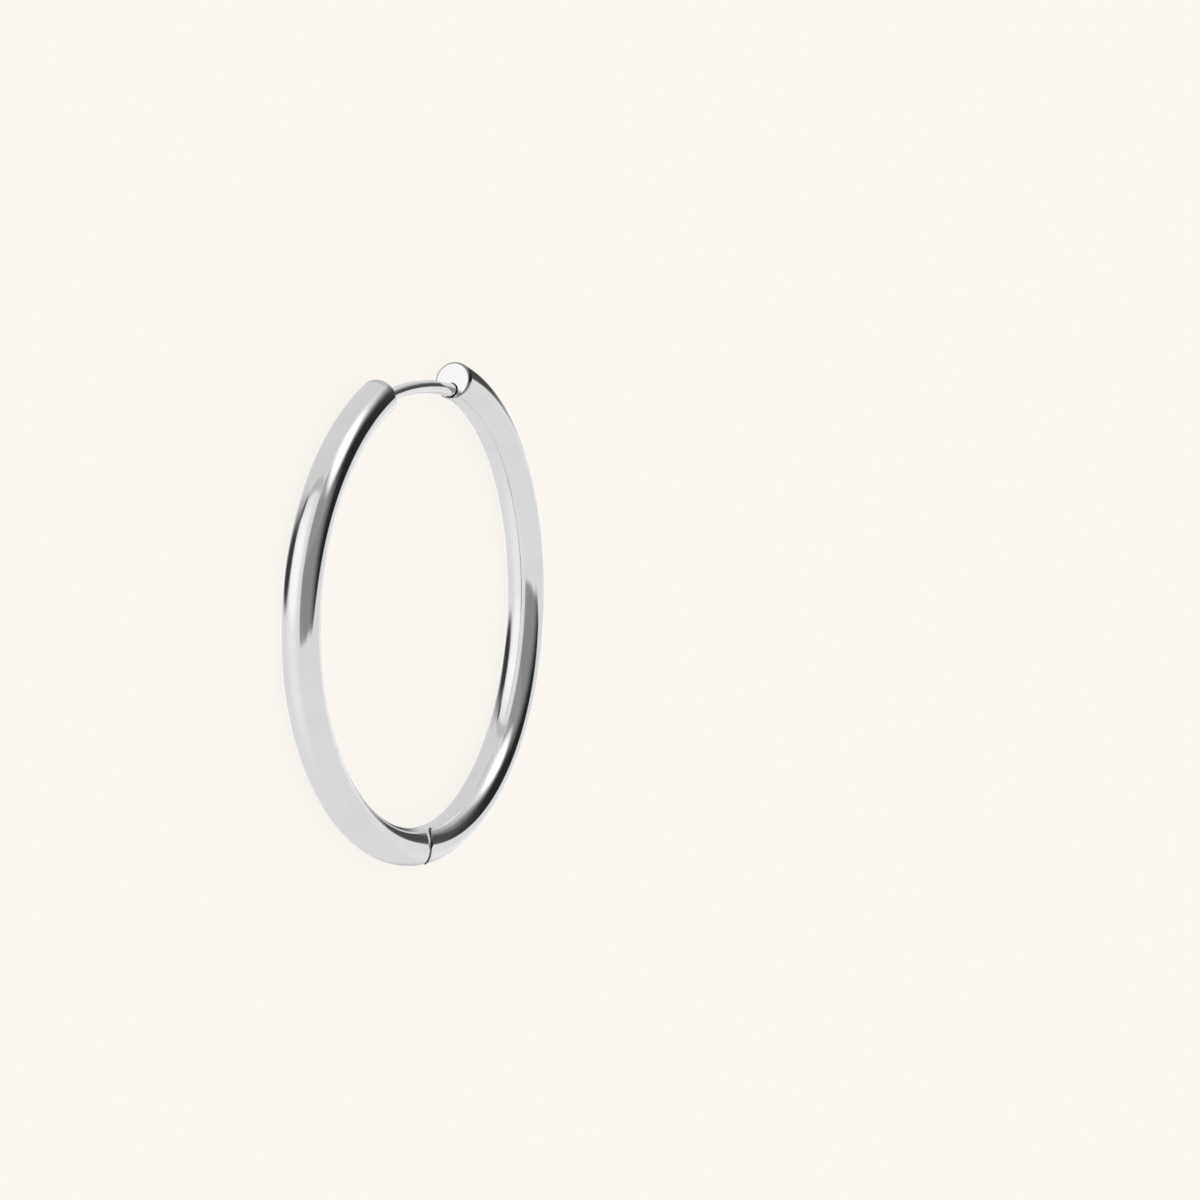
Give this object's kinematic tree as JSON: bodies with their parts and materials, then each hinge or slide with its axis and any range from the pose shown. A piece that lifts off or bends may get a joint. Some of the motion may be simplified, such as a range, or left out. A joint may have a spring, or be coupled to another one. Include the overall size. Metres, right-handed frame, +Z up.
{
  "type": "hoop earring",
  "caption": "Round hinged hoop earring of polished silver-coloured bar, with an arched ear post that bridges the gap and snaps into the back half.",
  "frame": {"origin": "on the surface that the hoop lies on, under the middle of the hoop", "axes": "+Z up, through the hoop; +Y from the hinge to the middle of the clasp gap; +X from the front half, which swings, to the back half"},
  "size_m": [0.03, 0.0292, 0.0023],
  "materials": {
    "polished_silver": "mirror-polished silver-coloured plating",
    "post_silver": "polished silver-coloured wire",
    "pin_steel": "plain drawn steel wire"
  },
  "bodies": {
    "back": {"back_half": "polished_silver", "hinge_pin": "pin_steel"},
    "front": {"front_half": "polished_silver", "ear_post": "post_silver"}
  },
  "joints": [
    {"name": "hinge", "type": "hinge", "parent": "back", "child": "front", "pos_m": [0.0004, -0.01443, 0.00115], "axis": [0, 0, 1], "range_deg": [0, 45]}
  ]
}
